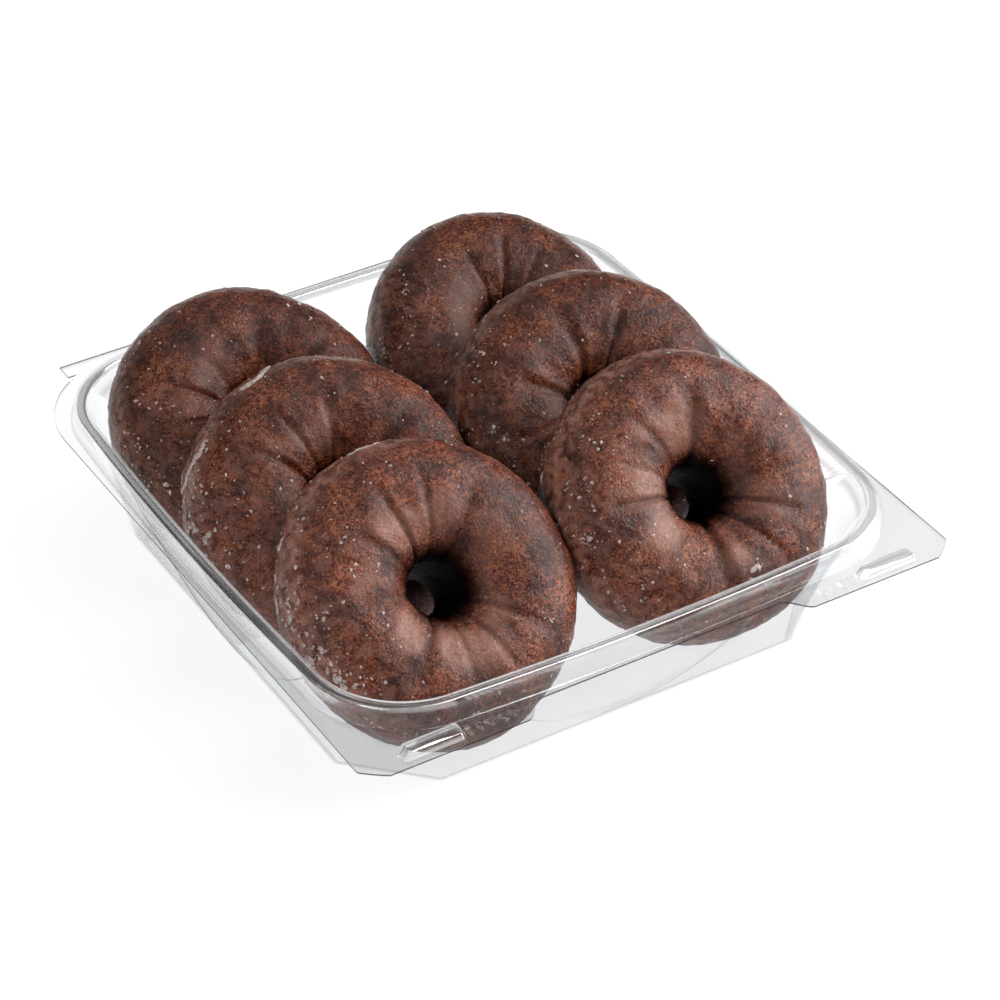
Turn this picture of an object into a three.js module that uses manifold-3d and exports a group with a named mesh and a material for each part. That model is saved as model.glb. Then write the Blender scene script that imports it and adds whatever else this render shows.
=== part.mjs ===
// A clear thermoformed tray that holds six glazed chocolate cake doughnuts.
// The doughnuts stand in two rows of three, each leaning back on the one behind it.
// Millimetres, +Z up, front towards -Y. The origin is the middle of the footprint.
import * as THREE from 'three';
import { mergeVertices } from 'three/addons/utils/BufferGeometryUtils.js';
import Module from 'manifold-3d';

const wasm = await Module();
wasm.setup();

// Tray: overall sizes.
const SHEET = 0.7;
const TRAY_WIDTH = 191;
const TRAY_DEPTH = 213.2;
const TRAY_HEIGHT = 41.5;
const FLANGE_TOP = 36;
const BODY_SHIFT = 1.1;

// Tray: half sizes of the body at its floor, at the mouth and round the snap bead.
const FLOOR = { halfX: 80.4, halfY: 82.3, corner: 21.5, round: 0 };
const MOUTH = { halfX: 87.2, halfY: 92.6, corner: 27, round: 1 };
const BEAD_TOP = { halfX: 90.6, halfY: 96, corner: 30, round: 1 };
const BEAD_FOOT = { halfX: 91.8, halfY: 97.2, corner: 31, round: 1 };
const FLOOR_RADIUS = 2.4;
const BEAD_RADIUS = 0.8;
const BEAD_UNDER_RADIUS = 0.5;
const PANEL_BULGE = 1.8;
const SIDE_STEPS = 6;
const CORNER_STEPS = 6;
const RIM_STEPS = 4 * (SIDE_STEPS + CORNER_STEPS);

// Tray: flange outline. The sheet's own lip reaches LIP past the foot of the bead and
// the flange plate starts LAP past it.
const LIP = 1.2;
const LAP = 0.6;
const TAB_INNER = 46.5;
const TAB_STEP = 7.5;
const TAB_PROUD = 6.2;
const TAB_RADIUS = 7;
const BACK_RADIUS = 32;
const HINGE_HALF = 80.5;
const HINGE_DEPTH = 6;
const HINGE_OVERHANG = 3;

// Tray: snap lugs on the two front tabs.
const LUG_WIDTH = 19.5;
const LUG_DEPTH = 5.2;
const LUG_HEIGHT = 2.6;
const LUG_X = 73.6;
const LUG_SETBACK = 4.6;
const LUG_SINK = 0.3;
const LUG_STEEP = 0.35;
const LUG_GENTLE = 0.9;

// Doughnuts: shared form.
const HOLE = 15.4;
const SEAT_GAP = 0.3;
const FULLNESS = 0.85;
const RIM_SWELL = 0.45;
const FACE_SWELL = 0.012;
const CREASES = 10;
const CREASE_DEPTH = 0.9;
const CREASE_REACH = 0.35;
const RING_STEPS = 40;
const SECTION_STEPS = 14;

// Each doughnut: middle of the ring across and along the tray, its size, how far its
// top leans towards the front, how far it is turned about the vertical, both in
// degrees, and a phase that makes its unevenness its own.
const DOUGHNUTS = {
  doughnut_left_back: { x: -42.8, y: 55.3, diameter: 84.6, thickness: 32.5, lean: 35, turn: 1, phase: 0.4 },
  doughnut_left_middle: { x: -43.3, y: 4, diameter: 86.6, thickness: 33, lean: 40, turn: -4, phase: 1.7 },
  doughnut_left_front: { x: -42.8, y: -47.2, diameter: 86, thickness: 32.5, lean: 43, turn: 4, phase: 2.9 },
  doughnut_right_back: { x: 43, y: 54.6, diameter: 84.4, thickness: 32.5, lean: 32, turn: 2, phase: 4.1 },
  doughnut_right_middle: { x: 43.2, y: 3, diameter: 86.6, thickness: 33, lean: 42, turn: -5, phase: 5.2 },
  doughnut_right_front: { x: 42.7, y: -47, diameter: 85.8, thickness: 32.5, lean: 45, turn: 2, phase: 0.9 },
};

const CLEAR_PET = new THREE.MeshStandardMaterial({
  color: 0xe9edf0, roughness: 0.06, metalness: 0, transparent: true, opacity: 0.35,
});
const CHOCOLATE_GLAZE = new THREE.MeshStandardMaterial({ color: 0x4a2a1f, roughness: 0.42, metalness: 0 });

// ---- solids and geometries ----

function mergedGeometry(geometry) {
  const bare = geometry.clone();
  bare.deleteAttribute('normal');
  bare.deleteAttribute('uv');
  return mergeVertices(bare, 1e-4);
}

function toSolid(geometry) {
  const merged = mergedGeometry(geometry);
  return new wasm.Manifold(new wasm.Mesh({
    numProp: 3,
    vertProperties: new Float32Array(merged.getAttribute('position').array),
    triVerts: new Uint32Array(merged.index.array),
  }));
}

function toGeometry(solid) {
  const mesh = solid.getMesh();
  const geometry = new THREE.BufferGeometry();
  geometry.setAttribute('position', new THREE.BufferAttribute(mesh.vertProperties, 3));
  geometry.setIndex(new THREE.BufferAttribute(mesh.triVerts, 1));
  geometry.computeVertexNormals();
  return geometry;
}

// ---- tray ----

function mix(a, b, t) {
  return a + (b - a) * t;
}

function mixOutline(a, b, t) {
  return {
    halfX: mix(a.halfX, b.halfX, t),
    halfY: mix(a.halfY, b.halfY, t),
    corner: mix(a.corner, b.corner, t),
    round: mix(a.round, b.round, t),
  };
}

function insetOutline(outline, distance) {
  const shrink = mix(1 - Math.SQRT1_2, 1, outline.round) * distance;
  return {
    halfX: outline.halfX - distance,
    halfY: outline.halfY - distance,
    corner: Math.max(outline.corner - shrink, 1),
    round: outline.round,
  };
}

// Point number `step` of an outline, counted anticlockwise from the right end of the
// front side. Each quarter is a corner, which is a chamfer where round is 0 and an arc
// where it is 1, and then a straight side that swells outwards by `bulge` at its middle.
function outlinePoint(outline, step, bulge) {
  const quarter = Math.floor(step / (SIDE_STEPS + CORNER_STEPS)) % 4;
  const local = step % (SIDE_STEPS + CORNER_STEPS);
  const along = quarter % 2 === 0 ? outline.halfX : outline.halfY;
  const across = quarter % 2 === 0 ? outline.halfY : outline.halfX;
  const point = new THREE.Vector2();
  if (local < CORNER_STEPS) {
    const t = local / CORNER_STEPS;
    const angle = t * Math.PI / 2;
    const arc = new THREE.Vector2(Math.sin(angle), 1 - Math.cos(angle));
    const chamfer = new THREE.Vector2(t, t);
    const blend = chamfer.lerp(arc, outline.round).multiplyScalar(outline.corner);
    point.set(along - outline.corner + blend.x, -across + blend.y);
  } else {
    const t = (local - CORNER_STEPS) / SIDE_STEPS;
    const reach = mix(-across + outline.corner, across - outline.corner, t);
    point.set(along + bulge(2 * t - 1), reach);
  }
  return point.rotateAround(new THREE.Vector2(), quarter * Math.PI / 2);
}

// The wall swells inside an arch that springs from the floor and widens to the mouth.
function archBulge(level) {
  return (t) => PANEL_BULGE * Math.max(level - t * t, 0);
}

// Rings of the formed sheet, from the middle of the floor out to the foot of the bead.
// `offset` is how far the face stands outside the inner face of the sheet.
function sheetRings(offset) {
  const rings = [];
  const lift = offset > 0 ? 0 : SHEET;
  const add = (outline, z, level) => rings.push({ outline, z: z + lift, bulge: archBulge(level) });
  const floorInner = insetOutline(FLOOR, SHEET - offset);
  for (const turn of [0, 0.5, 1]) {
    const angle = turn * Math.PI / 2;
    const inset = FLOOR_RADIUS * (1 - Math.sin(angle));
    add(insetOutline(floorInner, inset), FLOOR_RADIUS * (1 - Math.cos(angle)), 0);
  }
  const mouth = insetOutline(MOUTH, -offset);
  const wallTop = TRAY_HEIGHT - SHEET - BEAD_RADIUS;
  for (const level of [0.2, 0.4, 0.6, 0.8, 1]) {
    add(mixOutline(floorInner, mouth, level), mix(FLOOR_RADIUS, wallTop, level), level);
  }
  const beadTop = insetOutline(BEAD_TOP, offset);
  const beadFoot = insetOutline(BEAD_FOOT, offset);
  const roof = TRAY_HEIGHT - SHEET;
  const edge = offset > 0 ? BEAD_UNDER_RADIUS : BEAD_RADIUS;
  add(insetOutline(mouth, -edge), roof, 1);
  add(insetOutline(beadTop, edge), roof, 1);
  add(beadTop, roof - BEAD_RADIUS, 1);
  add(beadFoot, FLANGE_TOP - SHEET, 1);
  return rings;
}

// The sheet is a lathed profile whose turns are moved out to the outlines of its rings.
function formedShell() {
  const inner = sheetRings(0);
  const outer = sheetRings(SHEET);
  const lip = insetOutline(BEAD_FOOT, -LIP);
  const rings = [
    { axis: true, z: 0 },
    ...outer,
    { outline: lip, z: FLANGE_TOP - SHEET, bulge: archBulge(1) },
    { outline: lip, z: FLANGE_TOP, bulge: archBulge(1) },
    ...inner.reverse(),
    { axis: true, z: SHEET },
  ];
  const profile = rings.map((ring, index) => new THREE.Vector2(ring.axis ? 0 : index, ring.z));
  const lathe = new THREE.LatheGeometry(profile, RIM_STEPS);
  const position = lathe.getAttribute('position');
  for (let step = 0; step <= RIM_STEPS; step += 1) {
    rings.forEach((ring, index) => {
      const spot = ring.axis ? new THREE.Vector2() : outlinePoint(ring.outline, step, ring.bulge);
      position.setXYZ(step * rings.length + index, spot.x, spot.y, ring.z);
    });
  }
  return lathe;
}

function flangeOutline() {
  const halfX = TRAY_WIDTH / 2;
  const front = -TRAY_DEPTH / 2 - BODY_SHIFT;
  const back = TRAY_DEPTH / 2 - BODY_SHIFT;
  const recess = front + TAB_PROUD;
  const stepMiddle = TAB_INNER - TAB_STEP / 2;
  const shoulder = back - HINGE_DEPTH;
  const outline = new THREE.Shape();
  outline.moveTo(TAB_INNER - TAB_STEP, recess);
  outline.bezierCurveTo(stepMiddle, recess, stepMiddle, front, TAB_INNER, front);
  outline.lineTo(halfX - TAB_RADIUS, front);
  outline.absarc(halfX - TAB_RADIUS, front + TAB_RADIUS, TAB_RADIUS, -Math.PI / 2, 0, false);
  const turned = Math.acos((HINGE_HALF - HINGE_OVERHANG - halfX + BACK_RADIUS) / BACK_RADIUS);
  const arcTop = shoulder - BACK_RADIUS * Math.sin(turned);
  outline.absarc(halfX - BACK_RADIUS, arcTop, BACK_RADIUS, 0, turned, false);
  outline.lineTo(HINGE_HALF, shoulder);
  outline.lineTo(HINGE_HALF, back);
  outline.lineTo(-HINGE_HALF, back);
  outline.lineTo(-HINGE_HALF, shoulder);
  outline.absarc(-halfX + BACK_RADIUS, arcTop, BACK_RADIUS, Math.PI - turned, Math.PI, false);
  outline.absarc(-halfX + TAB_RADIUS, front + TAB_RADIUS, TAB_RADIUS, Math.PI, 1.5 * Math.PI, false);
  outline.lineTo(-TAB_INNER, front);
  outline.bezierCurveTo(-stepMiddle, front, -stepMiddle, recess, -TAB_INNER + TAB_STEP, recess);
  return outline;
}

function flangePlate() {
  const outline = flangeOutline();
  const opening = insetOutline(BEAD_FOOT, -LAP);
  const holePoints = [];
  for (let step = 0; step < RIM_STEPS; step += 1) {
    holePoints.push(outlinePoint(opening, step, archBulge(1)));
  }
  outline.holes.push(new THREE.Path(holePoints));
  const plate = new THREE.ExtrudeGeometry(outline, { depth: SHEET, bevelEnabled: false, curveSegments: 10 });
  return plate.translate(0, 0, FLANGE_TOP - SHEET);
}

// A snap lug is a hollow blister: a block with sloping ends, open underneath.
function lugBlock(grow, base) {
  const half = LUG_WIDTH / 2 + grow;
  const side = new THREE.Shape();
  side.moveTo(-half, 0);
  side.lineTo(half, 0);
  side.lineTo(half - LUG_HEIGHT * LUG_STEEP, LUG_HEIGHT);
  side.lineTo(-half + LUG_HEIGHT * LUG_GENTLE, LUG_HEIGHT);
  const depth = LUG_DEPTH + 2 * grow;
  const block = new THREE.ExtrudeGeometry(side, { depth, bevelEnabled: false });
  block.rotateX(Math.PI / 2);
  return block.translate(0, depth / 2, base);
}

function trayGeometry() {
  let tray = toSolid(formedShell()).add(toSolid(flangePlate()));
  const lugY = -TRAY_DEPTH / 2 - BODY_SHIFT + LUG_SETBACK;
  for (const side of [-1, 1]) {
    const blister = lugBlock(0, FLANGE_TOP - LUG_SINK);
    const hollow = lugBlock(-SHEET, FLANGE_TOP - SHEET - LUG_SINK);
    for (const block of [blister, hollow]) {
      block.translate(side * LUG_X, lugY, 0);
    }
    tray = tray.add(toSolid(blister)).subtract(toSolid(hollow));
  }
  return toGeometry(tray).translate(0, BODY_SHIFT, 0);
}

// ---- doughnuts ----

// Slow swellings round a ring that keep it from being a perfect circle.
function unevenness(around, phase) {
  const slow = Math.cos(2 * around + phase) + 0.6 * Math.cos(3 * around + 2.1 * phase);
  return slow + 0.35 * Math.cos(5 * around - 1.3 * phase);
}

// The top is drawn in to the hole along radial creases that fade halfway out.
function creaseDepth(around, inward, phase) {
  const fold = 0.5 + 0.5 * Math.cos(CREASES * around + 2 * Math.sin(2 * around + phase));
  return CREASE_DEPTH * fold * inward * inward;
}

function doughnutGeometry({ diameter, thickness, phase }) {
  const width = (diameter - HOLE) / 4;
  const middle = HOLE / 2 + width;
  const ring = new THREE.TorusGeometry(middle, width, SECTION_STEPS, RING_STEPS);
  const position = ring.getAttribute('position');
  for (let j = 0; j <= SECTION_STEPS; j += 1) {
    for (let i = 0; i <= RING_STEPS; i += 1) {
      const around = (i % RING_STEPS) / RING_STEPS * 2 * Math.PI;
      const section = (j % SECTION_STEPS) / SECTION_STEPS * 2 * Math.PI;
      const out = Math.cos(section);
      const up = Math.sin(section);
      const fullness = out > 0 ? FULLNESS : 1;
      const swell = unevenness(around, phase);
      const inward = Math.max(0, up) * Math.max(0, CREASE_REACH - out);
      const radius = middle + width * Math.sign(out) * Math.abs(out) ** fullness;
      const height = thickness / 2 * Math.sign(up) * Math.abs(up) ** FULLNESS;
      const reach = radius + RIM_SWELL * swell * Math.max(0, out);
      const lift = 1 + FACE_SWELL * unevenness(around + 1, phase);
      const top = height * lift - creaseDepth(around, inward, phase);
      position.setXYZ(j * (RING_STEPS + 1) + i, reach * Math.cos(around), reach * Math.sin(around), top);
    }
  }
  return mergedGeometry(ring);
}

// Leans the doughnut, turns it and sets it down on the floor of the tray.
function seatDoughnut(mesh, { x, y, lean, turn }) {
  const placed = new THREE.Euler(THREE.MathUtils.degToRad(lean), 0, THREE.MathUtils.degToRad(turn), 'ZYX');
  mesh.rotation.copy(placed);
  const low = new THREE.Box3().setFromObject(mesh, true).min.z;
  mesh.position.set(x, y, SHEET + SEAT_GAP - low);
}

// ---- the object ----

const box = new THREE.Group();
const tray = new THREE.Mesh(trayGeometry(), CLEAR_PET);
tray.name = 'tray';
box.add(tray);

for (const [name, form] of Object.entries(DOUGHNUTS)) {
  const doughnut = new THREE.Mesh(doughnutGeometry(form), CHOCOLATE_GLAZE.clone());
  doughnut.name = name;
  seatDoughnut(doughnut, form);
  box.add(doughnut);
}

export default box;
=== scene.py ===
"""Box of doughnuts: a clear thermoformed tray and the glazed chocolate rings in it."""
import math
import random
from collections import namedtuple

import bmesh
import bpy
from mathutils import Euler, Matrix, Vector, kdtree, noise


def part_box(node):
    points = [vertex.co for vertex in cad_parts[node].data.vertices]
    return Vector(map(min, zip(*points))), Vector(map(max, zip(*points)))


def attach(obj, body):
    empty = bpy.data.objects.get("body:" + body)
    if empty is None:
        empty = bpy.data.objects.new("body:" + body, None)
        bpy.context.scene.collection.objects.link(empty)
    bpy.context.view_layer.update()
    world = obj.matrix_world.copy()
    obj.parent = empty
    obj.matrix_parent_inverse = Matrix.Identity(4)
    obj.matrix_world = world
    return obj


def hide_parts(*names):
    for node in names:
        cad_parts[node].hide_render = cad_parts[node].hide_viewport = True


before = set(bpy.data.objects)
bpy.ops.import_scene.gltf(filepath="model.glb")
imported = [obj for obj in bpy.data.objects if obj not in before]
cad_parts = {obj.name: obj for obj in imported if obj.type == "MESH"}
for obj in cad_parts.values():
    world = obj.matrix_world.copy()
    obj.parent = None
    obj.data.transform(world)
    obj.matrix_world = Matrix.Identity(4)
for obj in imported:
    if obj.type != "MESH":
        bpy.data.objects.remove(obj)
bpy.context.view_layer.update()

bl_info = {
    "name": "Box of doughnuts",
    "version": (1, 0, 0),
    "blender": (4, 5, 0),
    "location": "View3D > Sidebar > Doughnuts",
    "description": "Builds a clear tray of glazed chocolate doughnuts on its packed frame",
    "category": "Add Mesh",
}

MM = 0.001

# The tray's forming tool, in millimetres, with y measured from the middle of the body.
TRAY_LOW, TRAY_HIGH = (Vector(corner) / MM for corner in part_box("tray"))
BODY_SHIFT = 1.1
FLOOR = {"half_x": 80.4, "half_y": 82.3, "corner": 21.5, "round": 0.0}
MOUTH = {"half_x": 87.2, "half_y": 92.6, "corner": 27.0, "round": 1.0}
BEAD_TOP = {"half_x": 90.6, "half_y": 96.0, "corner": 30.0, "round": 1.0}
BEAD_FOOT = {"half_x": 91.8, "half_y": 97.2, "corner": 31.0, "round": 1.0}
FLANGE_TOP = 36.0
TAB_INNER = 46.5
TAB_STEP = 7.5
TAB_PROUD = 6.2
TAB_RADIUS = 7.0
BACK_RADIUS = 32.0
HINGE_HALF = 80.5
HINGE_DEPTH = 6.0
HINGE_OVERHANG = 3.0
# The innermost ring lies within this reach, and the outline is cut between these heights.
FLOOR_HOLE = 45.0
TRIM_HEIGHTS = (-5.0, 60.0)
# Snap lugs and ribs on the front tabs: half sizes, and how far each end slopes in.
LUG_X = 73.6
LUG_SETBACK = 4.6
LUG_HALF_WIDTH = 9.75
LUG_HALF_DEPTH = 2.6
LUG_RISE = 2.3
LUG_SINK = 0.3
LUG_GENTLE = 2.3
LUG_STEEP = 0.9
LUG_ROUND = 0.5
LUG_BACK_Y = -97.5
LUG_CLEAR = 0.3
RIB_X = 55.0
RIBS = 5
RIB_SPACING = 3.4
RIB_SETBACK = 4.9
RIB_HALF = (0.55, 2.7, 0.5)
RIB_SINK = 0.1
SIDE_STEPS = 56
CORNER_STEPS = 22
QUARTER_STEPS = SIDE_STEPS + CORNER_STEPS
WALL_ROWS = 28
ARCH_ROW = 14
ARCH_STEP = 0.5
CREASE_SHARE = 0.014
FOOT_RINGS = 10
RIM_STEPS = 4 * QUARTER_STEPS

# How much the sheet mirrors on each bend, and on the bead how much that falls for each
# millimetre of x; how much painted shade lines its cut edges and creases, in place of the
# light the sheet would bend there, and what counts as one.
LUG_GLEAM = 0.6
BEAD_GLEAM = 0.74
BEAD_GLEAM_FALL = 0.002
FLANGE_GLEAM = 0.45
FLOOR_GLEAM = 0.3
CUT_EDGE_SHADE = 1.0
CREASE_LINE_SHADE = 0.7
CREASE_REACH = 0.1
UPRIGHT = 0.2
EDGE_REACH = 0.3

# Each doughnut: middle of its ring, size in millimetres, lean and turn in degrees, the
# phase of its unevenness, how far its hole narrows towards the tray, its swelling, and
# how much of the full glaze and its painted sheen lies on it; the less, the more painted
# shade on it.
Form = namedtuple("Form", "x y diameter thickness lean turn phase taper swelling glaze")
DOUGHNUTS = {
    "left_back": Form(-42.8, 55.3, 84.6, 32.5, 35.0, 1.0, 0.4, 0.0, 1.0, 0.45),
    "left_middle": Form(-43.3, 4.0, 86.6, 33.0, 40.0, -4.0, 1.7, 4.6, 1.0, 0.7),
    "left_front": Form(-42.8, -47.2, 86.0, 32.5, 43.0, 4.0, 2.9, 4.6, 1.012, 1.0),
    "right_back": Form(43.0, 54.6, 84.4, 32.5, 32.0, 2.0, 4.1, 0.0, 1.0, 0.35),
    "right_middle": Form(43.2, 3.0, 86.6, 33.0, 42.0, -5.0, 5.2, 4.6, 1.0, 0.45),
    "right_front": Form(42.7, -47.0, 85.8, 32.5, 45.0, 2.0, 0.9, 4.6, 1.005, 1.0),
}
# Runs of dried glaze: the doughnut, half the width in millimetres and the run's places
# as degrees round the ring and round its section.
RIDGES = (
    ("left_middle", 0.9, ((140, 27), (146, 25), (150, 18), (153, 9), (156, 3), (158, -10))),
    ("left_middle", 1.1, ((116, 31), (112, 32), (108, 32), (103, 26), (97, 11))),
    ("left_middle", 0.7, ((148, -10), (153, -14), (157, -16))),
    ("left_front", 0.8, ((137, 0), (140, -4), (143, -6))),
    ("left_front", 0.7, ((150, -8), (154, -8))),
    ("left_front", 0.8, ((158, -8), (162, -10), (166, -12))),
    ("left_front", 0.7, ((99, 12), (95, 14), (90, 17), (85, 18))),
    ("right_front", 1.0, ((-88, 86), (-83, 87), (-79, 85))),
    ("right_front", 0.7, ((150, -4), (155, -6))),
    ("left_back", 0.5, ((150, -6), (157, -7), (166, -6))),
)
# Trails of loose crumbs: the doughnut, how many, how wide in degrees, the largest in
# millimetres, and the trail's places.
TRAILS = (
    ("left_front", 40, 0.8, 0.4,
     ((-40, 83), (-42, 76), (-44, 67), (-45, 57), (-45, 43), (-45, 23))),
    ("left_front", 130, 6.0, 1.1, ((160, 6), (172, 14), (184, 24), (196, 30))),
    ("left_front", 50, 4.0, 1.7, ((188, 6), (197, 18), (203, 32))),
    ("left_middle", 70, 4.0, 1.4, ((160, 0), (172, 10), (182, 24), (190, 34))),
    ("left_back", 40, 5.0, 1.0, ((176, 8), (188, 20), (198, 34))),
    ("right_front", 26, 2.5, 1.1, ((176, 25), (178, 33), (181, 41), (184, 46))),
    ("right_front", 14, 3.0, 0.7, ((-92, 84), (-84, 80), (-78, 84))),
    ("right_middle", 18, 2.5, 0.8, ((176, 38), (180, 47), (183, 58))),
)
# The side where the sugar settled and where painted sheen lies on the flank and pool, and the side
# where painted sheen lies on the rim.
SUGAR_AND_SHEEN_SIDE = math.radians(190)
RIM_SHEEN_SIDE = math.radians(110)
RING_STEPS = 264
SECTION_STEPS = 120
FOLDS = 10

# Shares of grey bloom with its painted sheen, and of painted shade on the crust.
POOL_BLOOM_AND_SHEEN = 0.75
RIM_BLOOM_AND_SHEEN = 0.7
FLANK_SHEEN = 0.25
MOST_BLOOM_AND_SHEEN = 0.8
UNDER_SHADE = 0.75
CREASE_SHADE = 0.6
BACK_ROWS_SHADE = 0.5

# Sugar, in millimetres.
SPECK_SMALLEST = 0.13
SPECK_SPREAD = 0.6
CRUMB_SMALLEST = 0.16
CRUMB_SPACING = 0.3
RIDGE_SPACING = 0.8
RIDGE_SIDES = 8

# The studio, in metres and watts: each lamp's name, place, side and power.
TARGET = (-0.00611, -0.02606, 0.0415)
CAMERA_WAY = (-0.41888, -0.68434, 0.59686)
WORLD_GLOW = 0.07
LAMPS = (
    ("right", (1.15, -0.35, 0.55), 0.75, 26.5),
    ("top", (0.5, 0.3, 1.25), 0.6, 5.5),
    ("left", (-0.85, -0.45, 0.85), 0.45, 7.0),
    ("back", (0.1, 1.4, 0.7), 0.9, 2.5),
)


# ---- settings that a user would change ----


class TraySizes(bpy.types.PropertyGroup):
    sheet: bpy.props.FloatProperty(
        name="Sheet", description="Thickness of the plastic", default=0.5 * MM, unit="LENGTH")
    bulge: bpy.props.FloatProperty(
        name="Bulge", description="How far the wall panels swell out",
        default=1.8 * MM, unit="LENGTH")
    tint: bpy.props.FloatVectorProperty(
        name="Tint", description="Colour of the plastic",
        default=(0.966, 0.968, 0.971), subtype="COLOR")


class DoughnutLook(bpy.types.PropertyGroup):
    hole: bpy.props.FloatProperty(
        name="Hole", description="Width of the hole", default=14.6 * MM, unit="LENGTH")
    crease: bpy.props.FloatProperty(
        name="Crease", description="Depth of the creases round the hole",
        default=1.7 * MM, unit="LENGTH")
    lumps: bpy.props.FloatProperty(
        name="Lumps", description="Height of the lumps in the crust",
        default=0.5 * MM, unit="LENGTH")
    specks: bpy.props.IntProperty(
        name="Sugar specks", description="How many specks of sugar lie on each doughnut",
        default=760)


class StageSettings(bpy.types.PropertyGroup):
    lens: bpy.props.FloatProperty(
        name="Lens", description="Focal length of the camera in millimetres", default=126.05)
    distance: bpy.props.FloatProperty(
        name="Distance", description="Camera to target", default=0.99209, unit="LENGTH")
    floor: bpy.props.FloatProperty(
        name="Floor", description="Side of the square floor", default=6.0, unit="LENGTH")


# ---- small helpers ----


def to_linear(code):
    """sRGB hex to the linear colour that a shader takes."""
    parts = [int(code[i:i + 2], 16) / 255 for i in (0, 2, 4)]
    linear = [p / 12.92 if p <= 0.04045 else ((p + 0.055) / 1.055) ** 2.4 for p in parts]
    return (*linear, 1.0)


def mix(a, b, t):
    """From a to b as t goes from 0 to 1."""
    return a + (b - a) * t


def smooth(low, high, value):
    """0 at low, 1 at high, with an eased step between them."""
    t = min(max((value - low) / (high - low), 0.0), 1.0)
    return t * t * (3 - 2 * t)


def new_piece(add, name, **settings):
    """Adds a primitive with nothing else selected and gives it its name."""
    bpy.ops.object.select_all(action="DESELECT")
    add(**settings)
    piece = bpy.context.object
    piece.name = piece.data.name = name
    return piece


def apply_modifier(piece, kind, **settings):
    """Adds a modifier to a piece and applies it at once."""
    bpy.context.view_layer.objects.active = piece
    modifier = piece.modifiers.new(kind.title(), kind)
    for key, value in settings.items():
        setattr(modifier, key, value)
    bpy.ops.object.modifier_apply(modifier=modifier.name)


def remove(piece):
    mesh = piece.data
    bpy.data.objects.remove(piece)
    bpy.data.meshes.remove(mesh)


def only(piece):
    """Selects one piece and nothing else."""
    bpy.ops.object.select_all(action="DESELECT")
    piece.select_set(True)
    bpy.context.view_layer.objects.active = piece


def join(pieces, name):
    only(pieces[0])
    for piece in pieces:
        piece.select_set(True)
    bpy.ops.object.join()
    piece = bpy.context.object
    piece.name = piece.data.name = name
    return piece


def finish_piece(piece, material, angle):
    """Gives a piece its material and smooth shading, places it, and rides it on the body."""
    piece.data.materials.clear()
    piece.data.materials.append(material)
    only(piece)
    bpy.ops.object.transform_apply(location=True, rotation=True, scale=True)
    bpy.ops.object.shade_smooth_by_angle(angle=math.radians(angle))
    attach(piece, "root")
    return piece


# ---- materials ----


def new_material(name):
    material = bpy.data.materials.new(name)
    material.use_nodes = True
    material.node_tree.nodes.clear()
    return material


def add_node(material, kind, settings=None, **inputs):
    """Adds a node: settings are its own properties, inputs are values or sockets."""
    tree = material.node_tree
    node = tree.nodes.new(kind)
    for key, value in (settings or {}).items():
        setattr(node, key, value)
    for key, value in inputs.items():
        key = key.replace("_", " ")
        numbered = key[0] == "i" and key[1:].isdigit()
        socket = node.inputs[int(key[1:])] if numbered else node.inputs[key]
        if isinstance(value, bpy.types.NodeSocket):
            tree.links.new(value, socket)
        else:
            socket.default_value = value
    return node


def blend_colour(material, factor, first, second, how="MIX"):
    node = add_node(material, "ShaderNodeMix", {"data_type": "RGBA", "blend_type": how})
    for index, value in ((0, factor), (6, first), (7, second)):
        if isinstance(value, bpy.types.NodeSocket):
            material.node_tree.links.new(value, node.inputs[index])
        else:
            node.inputs[index].default_value = value
    return node.outputs[2]


def thermoformed_pet(tint):
    """PET sheet drawn into a mould: water clear, glossy, darker edge on, and painted shade at cut
    edges and creases.
    """
    material = new_material("thermoformed PET")
    gleam = add_node(material, "ShaderNodeAttribute", {"attribute_name": "gleam"}).outputs["Fac"]
    edge = add_node(material, "ShaderNodeLayerWeight", Blend=0.5).outputs["Facing"]
    deep = add_node(material, "ShaderNodeMath", {"operation": "POWER"}, i0=edge, i1=6.0)
    through = blend_colour(material, deep.outputs[0], (*tint, 1.0), to_linear("e4e7e9"))
    # Painted shade: the cut edges and wall creases get a grey line, in place of the light the sheet
    # would bend there.
    cut = add_node(material, "ShaderNodeAttribute", {"attribute_name": "cut"}).outputs["Fac"]
    through = blend_colour(material, cut, through, to_linear("74787a"))
    clear = add_node(material, "ShaderNodeBsdfTransparent", Color=through)
    shine = add_node(material, "ShaderNodeBsdfGlossy", Color=(1.0, 1.0, 1.0, 1.0), Roughness=0.04)
    mirror = add_node(material, "ShaderNodeFresnel", IOR=1.5)
    bends = add_node(
        material, "ShaderNodeMath", {"operation": "MULTIPLY", "use_clamp": True},
        i0=mirror.outputs[0], i1=gleam)
    # The sheet is closed and doesn't bend light, so a Fresnel share on its back faces would
    # be total. It is kept to the bends, and flat sheet mirrors more only near edge on.
    flats = add_node(
        material, "ShaderNodeMapRange", Value=deep.outputs[0], To_Min=0.01, To_Max=0.35)
    amount = add_node(
        material, "ShaderNodeMath", {"operation": "MAXIMUM"},
        i0=bends.outputs[0], i1=flats.outputs[0])
    both = add_node(
        material, "ShaderNodeMixShader",
        i0=amount.outputs[0], i1=clear.outputs[0], i2=shine.outputs[0])
    add_node(material, "ShaderNodeOutputMaterial", Surface=both.outputs[0])
    return material


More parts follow.
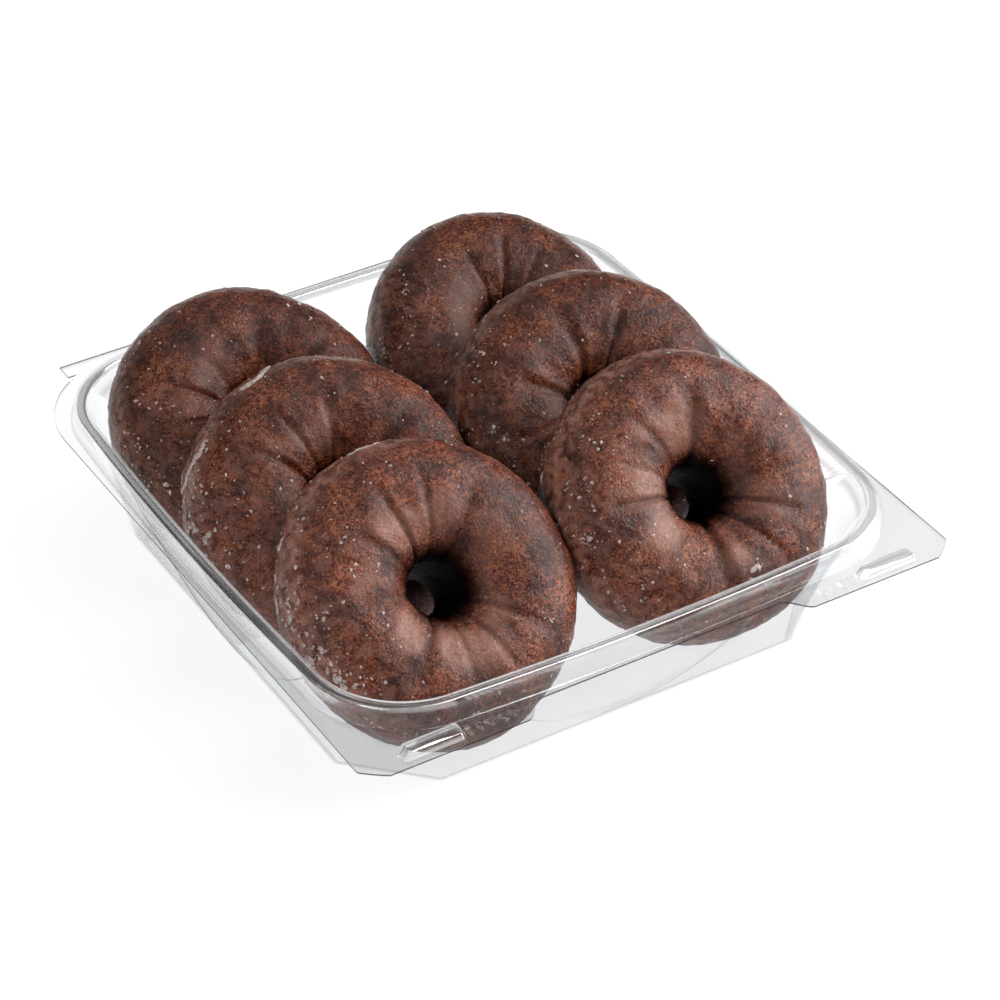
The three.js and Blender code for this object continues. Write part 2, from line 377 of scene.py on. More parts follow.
def chocolate_glaze():
    """Dark chocolate cake under thin sugar glaze: red-brown crumb, grey glaze with painted sheen,
    painted shade.
    """
    material = new_material("glazed chocolate cake")
    place = add_node(material, "ShaderNodeTexCoord").outputs["Object"]
    # Painted light: the first attribute is grey glaze with painted sheen, the second is painted
    # shade.
    bloom_and_sheen = add_node(material, "ShaderNodeAttribute", {"attribute_name": "bloom_and_sheen"}).outputs["Fac"]
    painted_shade = add_node(material, "ShaderNodeAttribute", {"attribute_name": "painted_shade"}).outputs["Fac"]
    # Patches of crust about 10 mm across, crumb of 1.7 mm, grains of 0.7 mm.
    patch = add_node(
        material, "ShaderNodeTexNoise", Vector=place, Scale=95.0, Detail=4.0, Roughness=0.6)
    crumb = add_node(
        material, "ShaderNodeTexNoise", Vector=place, Scale=600.0, Detail=4.0, Roughness=0.75)
    grain = add_node(
        material, "ShaderNodeTexNoise", Vector=place, Scale=1350.0, Detail=3.0, Roughness=0.75)
    warm = add_node(
        material, "ShaderNodeMapRange", Value=patch.outputs["Fac"], From_Min=0.36, From_Max=0.64)
    crust = blend_colour(material, warm.outputs[0], to_linear("270c07"), to_linear("541f16"))
    fleck = blend_colour(material, warm.outputs[0], to_linear("5a291b"), to_linear("965636"))
    rub = add_node(
        material, "ShaderNodeMapRange", Value=crumb.outputs["Fac"], From_Min=0.46, From_Max=0.66)
    crust = blend_colour(material, rub.outputs[0], crust, fleck)
    speck = add_node(
        material, "ShaderNodeMapRange", Value=grain.outputs["Fac"], From_Min=0.53, From_Max=0.6)
    crust = blend_colour(material, speck.outputs[0], crust, fleck)
    pit = add_node(
        material, "ShaderNodeMapRange", Value=grain.outputs["Fac"],
        From_Min=0.46, From_Max=0.38, To_Max=0.9)
    crust = blend_colour(material, pit.outputs[0], crust, to_linear("160603"))
    # Fine sugar dust: dots about 0.4 mm wide in cells of 2.3 mm, only where it settled.
    cells = add_node(material, "ShaderNodeTexVoronoi", Vector=place, Scale=430.0)
    dots = add_node(
        material, "ShaderNodeMapRange", Value=cells.outputs["Distance"], From_Min=0.13,
        From_Max=0.07)
    settled = add_node(
        material, "ShaderNodeMapRange", Value=crumb.outputs["Fac"], From_Min=0.48, From_Max=0.56)
    dust = add_node(
        material, "ShaderNodeMath", {"operation": "MULTIPLY", "use_clamp": True},
        i0=dots.outputs[0], i1=settled.outputs[0])
    crust = blend_colour(material, dust.outputs[0], crust, to_linear("a8958e"))
    # The grey bloom and its painted sheen are patchy: thick where the glaze pooled, broken up by
    # the crumb.
    broken = add_node(
        material, "ShaderNodeMapRange", Value=crumb.outputs["Fac"],
        From_Min=0.3, From_Max=0.7, To_Min=1.45, To_Max=0.35)
    veil = add_node(
        material, "ShaderNodeMath", {"operation": "MULTIPLY", "use_clamp": True},
        i0=bloom_and_sheen, i1=broken.outputs[0])
    coloured = blend_colour(material, veil.outputs[0], crust, to_linear("a47768"))
    # Painted shade, near black: under the doughnut, in its creases and hole, and on the middle and
    # back ones.
    shaded = blend_colour(material, painted_shade, coloured, to_linear("070303"))
    rough = add_node(
        material, "ShaderNodeMapRange", Value=patch.outputs["Fac"],
        From_Min=0.3, From_Max=0.7, To_Min=0.33, To_Max=0.21)
    # Less gloss where the painted shade lies.
    shiny = add_node(material, "ShaderNodeMapRange", Value=painted_shade, To_Min=0.27, To_Max=0.03)
    ripple = add_node(
        material, "ShaderNodeBump", Height=crumb.outputs["Fac"], Strength=0.6, Distance=0.0007)
    grit = add_node(
        material, "ShaderNodeBump", Height=grain.outputs["Fac"], Normal=ripple.outputs[0],
        Strength=0.55, Distance=0.0004)
    skin = add_node(
        material, "ShaderNodeBsdfPrincipled", Base_Color=shaded, Roughness=rough.outputs[0],
        IOR=1.48, Specular_IOR_Level=shiny.outputs[0], Normal=grit.outputs[0])
    add_node(material, "ShaderNodeOutputMaterial", Surface=skin.outputs[0])
    return material


def dried_sugar():
    """Dried white glaze: chalky crystals that are slightly see-through at their edges."""
    material = new_material("dried sugar glaze")
    place = add_node(material, "ShaderNodeTexCoord").outputs["Object"]
    # Crystals about 0.6 mm across.
    crystal = add_node(material, "ShaderNodeTexNoise", Vector=place, Scale=1600.0, Detail=2.0)
    step = add_node(
        material, "ShaderNodeMapRange", Value=crystal.outputs["Fac"], From_Min=0.35, From_Max=0.65)
    colour = blend_colour(material, step.outputs[0], to_linear("86706a"), to_linear("c8bab5"))
    bump = add_node(
        material, "ShaderNodeBump", Height=crystal.outputs["Fac"], Strength=0.5, Distance=0.0002)
    chalk = add_node(
        material, "ShaderNodeBsdfPrincipled", Base_Color=colour, Roughness=0.45, IOR=1.5,
        Normal=bump.outputs[0])
    add_node(material, "ShaderNodeOutputMaterial", Surface=chalk.outputs[0])
    return material


def lit_acrylic():
    """Opal acrylic light table: it glows almost white, and its matt face has faint clouds."""
    material = new_material("opal acrylic")
    place = add_node(material, "ShaderNodeTexCoord").outputs["Object"]
    # Clouds in the sheet about 60 mm across.
    cloud = add_node(material, "ShaderNodeTexNoise", Vector=place, Scale=16.0, Detail=2.0)
    colour = blend_colour(material, cloud.outputs["Fac"], to_linear("868686"), to_linear("8b8b8b"))
    sheet = add_node(
        material, "ShaderNodeBsdfPrincipled", Base_Color=colour, Roughness=0.9,
        Emission_Color=(1.0, 1.0, 1.0, 1.0), Emission_Strength=0.83)
    add_node(material, "ShaderNodeOutputMaterial", Surface=sheet.outputs[0])
    return material


# ---- tray ----


def mix_outline(a, b, t):
    return {key: mix(a[key], b[key], t) for key in a}


def grow(outline, distance):
    """The outline moved out by a distance, with its corners kept parallel."""
    share = mix(1 - math.sqrt(0.5), 1.0, outline["round"])
    return {
        "half_x": outline["half_x"] + distance,
        "half_y": outline["half_y"] + distance,
        "corner": max(outline["corner"] + share * distance, 1.0),
        "round": outline["round"],
    }


def side_place(step):
    """Where along its side a step lies, from -1 to 1, or None on a corner."""
    local = step % QUARTER_STEPS
    return None if local < CORNER_STEPS else 2 * (local - CORNER_STEPS) / SIDE_STEPS - 1


def arch_level(step, row):
    """Height share of a wall row: rows gather on the arch, so its crease is sharp."""
    along = side_place(step)
    arch = 0.97 if along is None else min(max(along ** 2, 0.012), 0.97)
    if row <= ARCH_ROW:
        return arch * row / ARCH_ROW
    if row == ARCH_ROW + 1:
        return min(arch + CREASE_SHARE, mix(arch, 1.0, 0.06))
    return mix(arch, 1.0, (row - ARCH_ROW) / (WALL_ROWS - ARCH_ROW))


def panel_swell(step, row, level, bulge):
    """How far a wall row stands out: nothing under the arch, a small step and a swell in it."""
    along = side_place(step)
    if along is None or row <= ARCH_ROW:
        return 0.0
    ledge = ARCH_STEP * math.sqrt(max(1 - level, 0.0)) * smooth(1.0, 0.8, abs(along))
    return ledge + bulge * max(level - along ** 2, 0.0)


def outline_point(outline, step, swell):
    """One point of a ring: a corner, then a side that stands out by its swell."""
    quarter = step // QUARTER_STEPS % 4
    local = step % QUARTER_STEPS
    along, across = outline["half_x"], outline["half_y"]
    if quarter % 2:
        along, across = across, along
    corner = outline["corner"]
    if local < CORNER_STEPS:
        t = local / CORNER_STEPS
        angle = t * math.pi / 2
        arc_x, arc_y = math.sin(angle), 1 - math.cos(angle)
        x = along - corner + corner * mix(t, arc_x, outline["round"])
        y = -across + corner * mix(t, arc_y, outline["round"])
    else:
        t = (local - CORNER_STEPS) / SIDE_STEPS
        y = mix(-across + corner, across - corner, t)
        x = along + swell
    for _turn in range(quarter):
        x, y = -y, x
    return x, y


def extrude_rings(name, rings):
    """Draws a circle and extrudes it ring by ring, each laid on its own outline in mm."""
    piece = new_piece(
        bpy.ops.mesh.primitive_circle_add, name, vertices=len(rings[0]), fill_type="NOTHING")
    bpy.ops.object.mode_set(mode="EDIT")
    mesh = bmesh.from_edit_mesh(piece.data)
    order = sorted(mesh.verts, key=lambda v: math.atan2(v.co.y, v.co.x) % math.tau)
    loop = [v.index for v in order]
    for number, ring in enumerate(rings):
        if number:
            bpy.ops.mesh.extrude_region()
            mesh = bmesh.from_edit_mesh(piece.data)
            mesh.verts.ensure_lookup_table()
            mesh.verts.index_update()
            fresh = []
            for index in loop:
                vert = mesh.verts[index]
                ends = [edge.other_vert(vert) for edge in vert.link_edges]
                fresh.append(next(end.index for end in ends if end.select))
            loop = fresh
        mesh.verts.ensure_lookup_table()
        for index, spot in zip(loop, ring):
            mesh.verts[index].co = Vector(spot) * MM
    bmesh.update_edit_mesh(piece.data)
    bpy.ops.object.mode_set(mode="OBJECT")
    return piece


def bend(centre, start, end, radius, parts):
    """Insets and heights round a bend, from one angle to another in degrees."""
    steps = [math.radians(mix(start, end, i / parts)) for i in range(parts + 1)]
    return [(centre[0] + radius * math.cos(a), centre[1] + radius * math.sin(a)) for a in steps]


def tray_rings(sheet, bulge):
    """Rings of the sheet's underside from the floor out to past the flange."""
    foot = [(grow(FLOOR, -inset), 0.0) for inset in (45.0, 20.0, 8.0, 4.0)]
    foot += [(grow(FLOOR, out), z) for out, z in bend((-2.4, 2.4), -90, -15, 2.4, 5)]
    top = TRAY_HIGH.z - sheet - 1.0
    rim = [(grow(MOUTH, out), z) for out, z in bend((1.2, top + 0.1), 165, 90, 0.9, 4)]
    rim += [(grow(BEAD_TOP, out), z) for out, z in bend((-0.8, top + 0.1), 90, 0, 0.9, 5)]
    low = FLANGE_TOP - sheet + 0.8
    rim.append((mix_outline(BEAD_TOP, BEAD_FOOT, 0.6), mix(top, low, 0.6)))
    rim += [(grow(BEAD_FOOT, out), z) for out, z in bend((0.9, low), 180, 270, 0.8, 4)]
    rim += [(grow(BEAD_FOOT, out), FLANGE_TOP - sheet) for out in (2.5, 4.5, 7.0, 10.0, 14.0, 19.0)]
    rings = []
    for outline, z in foot:
        rings.append([(*outline_point(outline, step, 0.0), z) for step in range(RIM_STEPS)])
    for row in range(1, WALL_ROWS + 1):
        ring = []
        for step in range(RIM_STEPS):
            level = arch_level(step, row)
            outline = mix_outline(FLOOR, grow(MOUTH, 0.2), level)
            swell = panel_swell(step, row, level, bulge)
            ring.append((*outline_point(outline, step, swell), mix(2.4, top, level)))
        rings.append(ring)
    for outline, z in rim:
        ring = []
        for step in range(RIM_STEPS):
            swell = panel_swell(step, WALL_ROWS, 1.0, bulge)
            ring.append((*outline_point(outline, step, swell), z))
        rings.append(ring)
    return [[(x, y + BODY_SHIFT, z) for x, y, z in ring] for ring in rings]


def arc(centre, start, end, radius, parts):
    """Points on an arc, with its angles in radians."""
    angles = [mix(start, end, i / parts) for i in range(parts + 1)]
    return [(centre[0] + radius * math.cos(a), centre[1] + radius * math.sin(a)) for a in angles]


def flange_outline():
    """The cut edge of the sheet: stepped front tabs, round back corners, hinge strip."""
    half_x, front, back = TRAY_HIGH.x, TRAY_LOW.y, TRAY_HIGH.y
    recess = front + TAB_PROUD
    shoulder = back - HINGE_DEPTH
    right = []
    for number in range(13):
        t = number / 12
        ease = t * t * (3 - 2 * t)
        right.append((TAB_INNER - TAB_STEP + TAB_STEP * t, mix(recess, front, ease)))
    right += arc((half_x - TAB_RADIUS, front + TAB_RADIUS), -math.pi / 2, 0, TAB_RADIUS, 12)
    turned = math.acos((HINGE_HALF - HINGE_OVERHANG - half_x + BACK_RADIUS) / BACK_RADIUS)
    centre = (half_x - BACK_RADIUS, shoulder - BACK_RADIUS * math.sin(turned))
    right += arc(centre, 0, turned, BACK_RADIUS, 14)
    right += [(HINGE_HALF, shoulder), (HINGE_HALF, back)]
    left = [(-x, y) for x, y in reversed(right)]
    return right + left


def lug_solid(name, side, shrink, drop):
    """A snap lug: a block with a gentle and a steep end, its top edges rounded."""
    y = TRAY_LOW.y + LUG_SETBACK
    piece = new_piece(bpy.ops.mesh.primitive_cube_add, name, size=1.0)
    half = LUG_HALF_WIDTH - shrink
    deep = LUG_HALF_DEPTH - shrink
    for vert in piece.data.vertices:
        top = vert.co.z > 0
        slope = (LUG_GENTLE if vert.co.x < 0 else LUG_STEEP) if top else 0
        spot = (
            side * LUG_X + math.copysign(half - slope, vert.co.x),
            y + math.copysign(deep, vert.co.y),
            FLANGE_TOP + (LUG_RISE if top else -LUG_SINK) - drop)
        vert.co = Vector(spot) * MM
    apply_modifier(piece, "BEVEL", width=LUG_ROUND * MM, segments=3, limit_method="ANGLE")
    return piece


def grip_ribs(name):
    """Short plain ribs that give the fingers a hold on the front tabs."""
    ribs = []
    for side in (-1, 1):
        for number in range(RIBS):
            x = side * RIB_X + (number - RIBS // 2) * RIB_SPACING
            rib = new_piece(
                bpy.ops.mesh.primitive_uv_sphere_add, name, segments=16, ring_count=8, radius=1.0)
            for vert in rib.data.vertices:
                spot = (
                    x + vert.co.x * RIB_HALF[0],
                    TRAY_LOW.y + RIB_SETBACK + vert.co.y * RIB_HALF[1],
                    FLANGE_TOP - RIB_SINK + vert.co.z * RIB_HALF[2])
                vert.co = Vector(spot) * MM
            ribs.append(rib)
    return join(ribs, name)


def bend_share(spot):
    """How much the sheet mirrors here: most on the bead, less on other bends, 0 on flats."""
    bead = smooth(TRAY_HIGH.z - 2.2, TRAY_HIGH.z - 0.9, spot.z)
    foot = smooth(1.2, 0.4, abs(spot.z - FLANGE_TOP - 0.2))
    lug = LUG_GLEAM if spot.y < LUG_BACK_Y and spot.z > FLANGE_TOP + LUG_CLEAR else 0.0
    bead *= BEAD_GLEAM - BEAD_GLEAM_FALL * spot.x
    return max(lug, bead, FLANGE_GLEAM * foot, FLOOR_GLEAM * smooth(3.0, 1.5, spot.z))


def crease_faces(piece, rings):
    """The narrow faces that step out under each wall's arched panel."""
    rows = rings[FOOT_RINGS + ARCH_ROW - 1:FOOT_RINGS + ARCH_ROW + 1]
    crease = [Vector(spot) * MM for ring in rows for spot in ring]
    tree = kdtree.KDTree(len(crease))
    for number, spot in enumerate(crease):
        tree.insert(spot, number)
    tree.balance()
    near = [tree.find(vert.co)[2] < CREASE_REACH * MM for vert in piece.data.vertices]
    faces = piece.data.polygons
    return {face.index for face in faces if all(near[number] for number in face.vertices)}


def build_tray(sizes):
    """The sheet drawn up ring by ring, thickened, cut to its outline and given its lugs."""
    sheet, bulge = sizes.sheet / MM, sizes.bulge / MM
    rings = tray_rings(sheet, bulge)
    tray = extrude_rings("tray_sheet", rings)
    bpy.ops.object.mode_set(mode="EDIT")
    bpy.ops.mesh.select_all(action="DESELECT")
    mesh = bmesh.from_edit_mesh(tray.data)
    reach = FLOOR_HOLE * MM
    for edge in mesh.edges:
        if edge.is_boundary and all(v.co.z < MM and abs(v.co.x) < reach for v in edge.verts):
            edge.select_set(True)
    bmesh.update_edit_mesh(tray.data)
    bpy.ops.mesh.edge_face_add()
    bpy.ops.mesh.select_all(action="SELECT")
    bpy.ops.mesh.normals_make_consistent(inside=False)
    bpy.ops.object.mode_set(mode="OBJECT")
    # The floor's underside faces down, so the sheet gets its thickness upwards.
    middle = min(tray.data.polygons, key=lambda face: face.center.xy.length)
    inward = -1.0 if middle.normal.z < 0 else 1.0
    apply_modifier(tray, "SOLIDIFY", thickness=sheet * MM, offset=inward, use_even_offset=True)
    outline = flange_outline()
    trim = extrude_rings("trim", [[(x, y, z) for x, y in outline] for z in TRIM_HEIGHTS])
    close_ends(trim)
    apply_modifier(tray, "BOOLEAN", operation="INTERSECT", object=trim, solver="EXACT")
    remove(trim)
    lugs = [lug_solid("lug", side, 0.0, 0.0) for side in (-1, 1)]
    raised = join(lugs + [grip_ribs("ribs")], "raised")
    apply_modifier(tray, "BOOLEAN", operation="UNION", object=raised, solver="EXACT")
    remove(raised)
    hollow = join([lug_solid("lug", side, sheet, sheet) for side in (-1, 1)], "hollow")
    apply_modifier(tray, "BOOLEAN", operation="DIFFERENCE", object=hollow, solver="EXACT")
    remove(hollow)
    shine = [bend_share(vert.co / MM) for vert in tray.data.vertices]
    tray.data.attributes.new("gleam", "FLOAT", "POINT").data.foreach_set("value", shine)
    # Painted shade lines: on the flange's cut edge and on the creases under the wall arches.
    creases = crease_faces(tray, rings)
    painted_line_shades = []
    for face in tray.data.polygons:
        off = abs(face.center.z / MM - FLANGE_TOP + sheet / 2)
        edge_on = abs(face.normal.z) < UPRIGHT and off < EDGE_REACH
        painted_line_shades.append(CUT_EDGE_SHADE if edge_on else CREASE_LINE_SHADE * (face.index in creases))
    tray.data.attributes.new("cut", "FLOAT", "FACE").data.foreach_set("value", painted_line_shades)
    return tray


def close_ends(piece):
    """Fills the two open ends of an extruded outline and turns its faces outwards."""
    only(piece)
    bpy.ops.object.mode_set(mode="EDIT")
    mesh = bmesh.from_edit_mesh(piece.data)
    bmesh.ops.holes_fill(mesh, edges=[e for e in mesh.edges if e.is_boundary], sides=0)
    bmesh.ops.recalc_face_normals(mesh, faces=mesh.faces)
    bmesh.update_edit_mesh(piece.data)
    bpy.ops.object.mode_set(mode="OBJECT")


# ---- doughnuts ----


def unevenness(around, phase):
    """Slow swellings round a ring that keep it from being a perfect circle."""
    slow = math.cos(2 * around + phase) + 0.6 * math.cos(3 * around + 2.1 * phase)
    return slow + 0.35 * math.cos(5 * around - 1.3 * phase)


def fold(around, phase):
    """How deep a radial crease is at this place round the hole, from 0 to 1."""
    wave = math.cos(FOLDS * around + 2 * math.sin(2 * around + phase))
    spot = Vector((math.cos(around) * 1.6, math.sin(around) * 1.6, phase * 7.0))
    share = 0.5 + 0.9 * noise.noise(spot)
    return max(0.0, wave) ** 3 * min(max(share, 0.05), 1.0)


def ring_surface(form, look, around, section):
    """A point on the doughnut's skin in millimetres, and how deep in a crease it is."""
    phase = form.phase
    hole = look.hole / MM
    width = (form.diameter - hole) / 4
    middle = hole / 2 + width
    out, up = math.cos(section), math.sin(section)
    swell = unevenness(around, phase)
    fullness = 0.85 if out > 0 else 1.0
    radius = middle + width * math.copysign(abs(out) ** fullness, out)
    radius += 0.45 * swell * max(0.0, out)
    height = form.thickness / 2 * math.copysign(abs(up) ** 0.85, up)
    height *= 1 + 0.012 * unevenness(around + 1, phase)
    radius -= form.taper * smooth(0.1, -0.7, up) * smooth(-0.2, -0.8, out)
    inward = max(0.0, up) * max(0.0, 0.5 - out)
    crease = fold(around, phase) * min(inward * 1.6, 1.0)
    height -= look.crease / MM * crease
    return Vector((radius * math.cos(around), radius * math.sin(around), height)), crease


def lumps(spot, phase):
    """Unevenness of the crust: lumps of about 9, 4 and 2 mm."""
    seed = Vector((phase * 31.0, phase * 17.0, 0.0))
    rough = noise.noise(spot / 9.0 + seed)
    rough += 0.5 * noise.noise(spot / 4.0 + seed)
    return rough + 0.25 * noise.noise(spot / 2.0 + seed)


def skin_spot(form, look, around, section):
    """A spot on the crust, the way out of it and its crease, before it is leant and placed."""
    spot, crease = ring_surface(form, look, around, section)
    out, up = math.cos(section), math.sin(section)
    normal = Vector((out * math.cos(around), out * math.sin(around), up))
    rise = look.lumps / MM * lumps(spot, form.phase) - 0.1
    ragged = abs(noise.noise(spot / 3.2 + Vector((form.phase, 0.0, 9.0))))
    rise += 0.35 * smooth(0.45, 0.9, out) * ragged
    return spot * form.swelling + normal * rise, normal, crease


def placing(form):
    """The doughnut's lean and turn, and its place on the floor before it is seated."""
    turned = Euler((math.radians(form.lean), 0.0, math.radians(form.turn)), "XYZ").to_matrix()
    return turned, Vector((form.x, form.y, 0.0))


def bloom_and_sheen_share(spot, around, out, up, form):
    """How thick the grey glaze and its painted sheen lie: pooled on the slope to the hole, cracked
    at the rim, and on one flank.
    """
    seed = Vector((form.phase * 5.0, 3.0, form.phase))
    pool = smooth(0.55, 0.15, abs(out + 0.35)) * max(0.0, up)
    pool *= smooth(-0.2, 0.35, noise.noise(spot / 11.0 + seed))
    # Painted highlight along the rim on one side, broken up like cracked glaze.
    rim = smooth(0.7, 0.95, out) * (0.5 + 0.5 * math.cos(around - RIM_SHEEN_SIDE))
    rim *= smooth(-0.25, 0.3, noise.noise(spot / 2.2 + seed))
    left = math.cos(around - SUGAR_AND_SHEEN_SIDE)
    pool *= 0.65 + 0.35 * left
    # Painted highlight on one flank.
    flank = smooth(0.2, 0.9, left) * smooth(-0.2, 0.3, out)
    flank *= smooth(-0.1, 0.4, noise.noise(spot / 2.5 - seed))
    bloom_and_sheen = POOL_BLOOM_AND_SHEEN * pool * form.glaze + RIM_BLOOM_AND_SHEEN * rim + FLANK_SHEEN * flank
    return min(bloom_and_sheen, MOST_BLOOM_AND_SHEEN)


# Each doughnut's turn and place once it is seated, for the sugar that lies on it.
SEATS = {}


def build_doughnut(name, form, look):
    """A torus moved onto the risen, creased shape, leant, turned and set on the floor."""
    piece = new_piece(
        bpy.ops.mesh.primitive_torus_add, "glazed_" + name,
        major_segments=RING_STEPS, minor_segments=SECTION_STEPS, major_radius=1.0, minor_radius=0.4)
    turned, place = placing(form)
    spots, blooms_and_sheen, painted_shades = [], [], []
    for vert in piece.data.vertices:
        around = math.atan2(vert.co.y, vert.co.x)
        section = math.atan2(vert.co.z, math.hypot(vert.co.x, vert.co.y) - 1.0)
        spot, _normal, crease = skin_spot(form, look, around, section)
        out, up = math.cos(section), math.sin(section)
        spots.append(turned @ spot)
        blooms_and_sheen.append(bloom_and_sheen_share(spot, around, out, up, form))
        # Painted shade: under the doughnut, in its creases and its hole, and on the middle and back
        # doughnuts.
        under = UNDER_SHADE * smooth(0.15, -0.6, up) * smooth(0.0, 0.6, out)
        sunk = CREASE_SHADE * crease + smooth(-0.68, -0.96, out)
        painted_shades.append(min(1.0, max(under, sunk, BACK_ROWS_SHADE * (1 - form.glaze))))
    low = min(spot.z for spot in spots)
    place.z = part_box("doughnut_" + name)[0][2] / MM - low
    for vert, spot in zip(piece.data.vertices, spots):
        vert.co = (spot + place) * MM
    SEATS[name] = (turned, place)
    for key, values in (("bloom_and_sheen", blooms_and_sheen), ("painted_shade", painted_shades)):
        layer = piece.data.attributes.new(key, "FLOAT", "POINT")
        layer.data.foreach_set("value", values)
    return piece


# ---- sugar ----


def seated(name, look, around, section):
    """A spot on a seated doughnut's crust and the way out of it, in millimetres."""
    turned, place = SEATS[name]
    spot, normal, _crease = skin_spot(DOUGHNUTS[name], look, around, section)
    return turned @ spot + place, (turned @ normal).normalized()


def sugar_specks(look):
    """Crumbs of dried sugar, each a squashed and dented low ball half sunk in the crust."""
    draw = random.Random(11)
    pattern = new_piece(bpy.ops.mesh.primitive_ico_sphere_add, "speck", subdivisions=1, radius=1.0)
    shape = [vert.co.copy() for vert in pattern.data.vertices]
    faces = [tuple(face.vertices) for face in pattern.data.polygons]
    remove(pattern)
    places = []
    for name, form in DOUGHNUTS.items():
        count = 0
        while count < look.specks:
            around = draw.uniform(-math.pi, math.pi)
            section = draw.gauss(0.35, 0.75)
            flank = 0.2 + 0.8 * smooth(-0.1, 0.9, math.cos(around - SUGAR_AND_SHEEN_SIDE))
            spot = Vector((4 * math.cos(around), 4 * math.sin(around), 3 * section + form.phase))
            cluster = noise.noise(spot)
            if draw.random() < flank * (0.15 + 0.85 * smooth(-0.2, 0.3, cluster)):
                size = SPECK_SMALLEST + SPECK_SPREAD * draw.random() ** 4
                places.append((name, around, section, size))
                count += 1
    for name, count, spread, largest, path in TRAILS:
        run = along_path(path, CRUMB_SPACING)
        for _crumb in range(count):
            around, section = draw.choice(run)
            around += draw.gauss(0, spread)
            section += draw.gauss(0, 2 * spread)
            size = CRUMB_SMALLEST + (largest - CRUMB_SMALLEST) * draw.random() ** 3
            places.append((name, math.radians(around), math.radians(section), size))
    spots, links = [], []
    for name, around, section, size in places:
        spot, normal = seated(name, look, around, section)
        facing = normal.to_track_quat("Z", "Y").to_matrix()
        facing = facing @ Matrix.Rotation(draw.uniform(0, math.tau), 3, "Z")
        narrow = draw.uniform(0.45, 1.0)
        start = len(spots)
        for corner in shape:
            dent = 0.55 + 0.75 * draw.random()
            flat = (corner.x * size * dent, corner.y * size * dent * narrow)
            local = Vector((*flat, corner.z * size * 0.5))
            spots.append((spot + facing @ local) * MM)
        links += [tuple(start + corner for corner in face) for face in faces]
    mesh = bpy.data.meshes.new("sugar_specks")
    mesh.from_pydata(spots, [], links)
    piece = bpy.data.objects.new("sugar_specks", mesh)
    bpy.context.collection.objects.link(piece)
    return piece


def along_path(path, spacing):
    """Evenly spread places on a run of (around, section) degrees."""
    places = []
    for (a0, s0), (a1, s1) in zip(path, path[1:]):
        parts = max(1, round(math.hypot(a1 - a0, (s1 - s0) * 0.5) / spacing))
        places += [(mix(a0, a1, i / parts), mix(s0, s1, i / parts)) for i in range(parts)]
    return places + [path[-1]]


def glaze_ridges(look):
    """Ragged ridges where the glaze ran and set white, lofted along the crust."""
    draw = random.Random(5)
    ridges = []
    for name, half, path in RIDGES:
        places = along_path(path, RIDGE_SPACING)
        spots = [seated(name, look, math.radians(a), math.radians(s)) for a, s in places]
        rings = []
        for number, (spot, normal) in enumerate(spots):
            before = spots[max(number - 1, 0)][0]
            after = spots[min(number + 1, len(spots) - 1)][0]
            side = (after - before).cross(normal).normalized()
            taper = smooth(0, 3, number + 0.4) * smooth(0, 3, len(spots) - number - 0.6)
            wide = half * (0.6 + 0.8 * draw.random()) * max(taper, 0.15)
            tall = 0.5 * half * (0.5 + 0.8 * draw.random()) * max(taper, 0.15)
            shift = side * half * 0.5 * (draw.random() - 0.5)
            ring = []
            for corner in range(RIDGE_SIDES):
                angle = corner / RIDGE_SIDES * math.tau
                across = side * wide * math.cos(angle)
                ring.append(spot + shift + across + normal * tall * math.sin(angle))
            rings.append(ring)
        ridge = extrude_rings("ridge", rings)
        close_ends(ridge)
        ridges.append(ridge)
    return join(ridges, "glaze_ridges")


# ---- operators ----


class DOUGHNUTBOX_OT_tray(bpy.types.Operator):
    """Forms the clear tray with its bead, flange, lugs and ribs"""

    bl_idname = "doughnutbox.tray"
    bl_label = "Form tray"

    def execute(self, context):
        sizes = context.scene.tray_sizes
        tray = finish_piece(build_tray(sizes), thermoformed_pet(sizes.tint), angle=35)
        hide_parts("tray")
        return {"FINISHED"}


class DOUGHNUTBOX_OT_doughnuts(bpy.types.Operator):
    """Shapes the glazed doughnuts and sets them in the tray"""

    bl_idname = "doughnutbox.doughnuts"
    bl_label = "Shape doughnuts"

    def execute(self, context):
        look = context.scene.doughnut_look
        material = chocolate_glaze()
        for name, form in DOUGHNUTS.items():
            piece = finish_piece(build_doughnut(name, form, look), material, angle=180)
            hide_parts("doughnut_" + name)
        return {"FINISHED"}


class DOUGHNUTBOX_OT_sugar(bpy.types.Operator):
    """Scatters the sugar specks and lays the ridges of dried glaze"""

    bl_idname = "doughnutbox.sugar"
    bl_label = "Add sugar"

    def execute(self, context):
        look = context.scene.doughnut_look
        material = dried_sugar()
        finish_piece(sugar_specks(look), material, angle=60)
        finish_piece(glaze_ridges(look), material, angle=60)
        return {"FINISHED"}


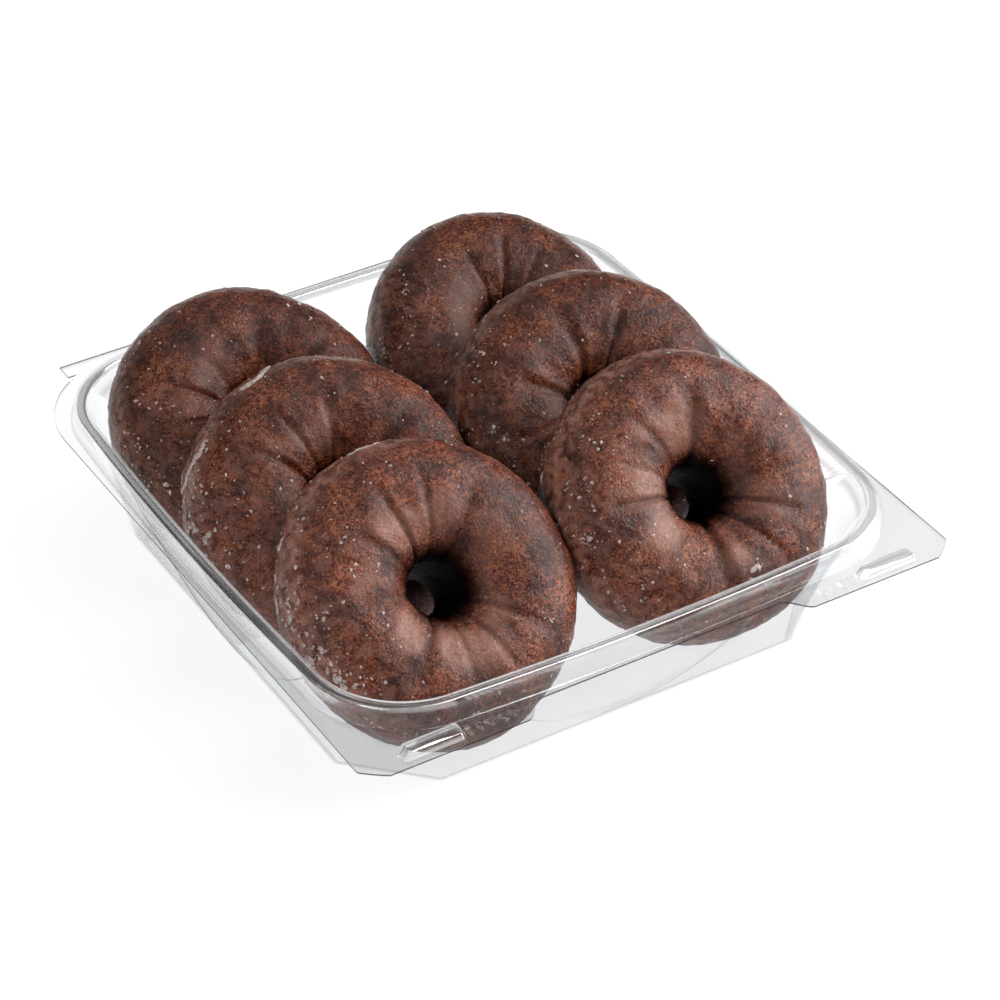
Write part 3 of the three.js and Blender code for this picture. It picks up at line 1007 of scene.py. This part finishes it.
class DOUGHNUTBOX_OT_stage(bpy.types.Operator):
    """Lays the pale floor, hangs the soft lights and sets the camera"""

    bl_idname = "doughnutbox.stage"
    bl_label = "Set stage"

    def execute(self, context):
        settings = context.scene.stage_settings
        floor = new_piece(bpy.ops.mesh.primitive_plane_add, "studio_floor", size=settings.floor)
        floor.data.materials.append(lit_acrylic())
        target = Vector(TARGET)
        for name, spot, size, power in LAMPS:
            light = bpy.data.lights.new(name, "AREA")
            light.shape, light.size, light.energy = "SQUARE", size, power
            holder = bpy.data.objects.new(name, light)
            context.collection.objects.link(holder)
            holder.location = spot
            holder.rotation_euler = (target - Vector(spot)).to_track_quat("-Z", "Y").to_euler()
        world = bpy.data.worlds.new("studio")
        world.use_nodes = True
        glow = world.node_tree.nodes["Background"]
        glow.inputs["Color"].default_value = (1, 1, 1, 1)
        glow.inputs["Strength"].default_value = WORLD_GLOW
        context.scene.world = world
        context.scene.view_settings.view_transform = "Standard"
        camera = bpy.data.cameras.new("camera")
        camera.lens, camera.sensor_width = settings.lens, 36.0
        camera.clip_start, camera.clip_end = 0.05, 20.0
        holder = bpy.data.objects.new("camera", camera)
        context.collection.objects.link(holder)
        back = Vector(CAMERA_WAY)
        holder.location = target + back * settings.distance
        holder.rotation_euler = back.to_track_quat("Z", "Y").to_euler()
        context.scene.camera = holder
        return {"FINISHED"}


class DOUGHNUTBOX_PT_panel(bpy.types.Panel):
    """Lists the settings and the steps"""

    bl_idname = "DOUGHNUTBOX_PT_panel"
    bl_label = "Box of doughnuts"
    bl_space_type = "VIEW_3D"
    bl_region_type = "UI"
    bl_category = "Doughnuts"

    def draw(self, context):
        scene = context.scene
        for group in (scene.tray_sizes, scene.doughnut_look, scene.stage_settings):
            for key in group.__annotations__:
                self.layout.prop(group, key)
        for step in STEPS:
            self.layout.operator(step.bl_idname)


GROUPS = {"tray_sizes": TraySizes, "doughnut_look": DoughnutLook, "stage_settings": StageSettings}
STEPS = (DOUGHNUTBOX_OT_tray, DOUGHNUTBOX_OT_doughnuts, DOUGHNUTBOX_OT_sugar, DOUGHNUTBOX_OT_stage)


def register():
    for group in (*GROUPS.values(), *STEPS, DOUGHNUTBOX_PT_panel):
        bpy.utils.register_class(group)
    for name, group in GROUPS.items():
        setattr(bpy.types.Scene, name, bpy.props.PointerProperty(type=group))


def unregister():
    for name in GROUPS:
        delattr(bpy.types.Scene, name)
    for group in (DOUGHNUTBOX_PT_panel, *reversed(STEPS), *reversed(tuple(GROUPS.values()))):
        bpy.utils.unregister_class(group)


def main():
    register()
    bpy.ops.doughnutbox.tray()
    bpy.ops.doughnutbox.doughnuts()
    bpy.ops.doughnutbox.sugar()
    bpy.ops.doughnutbox.stage()


if __name__ == "__main__":
    main()
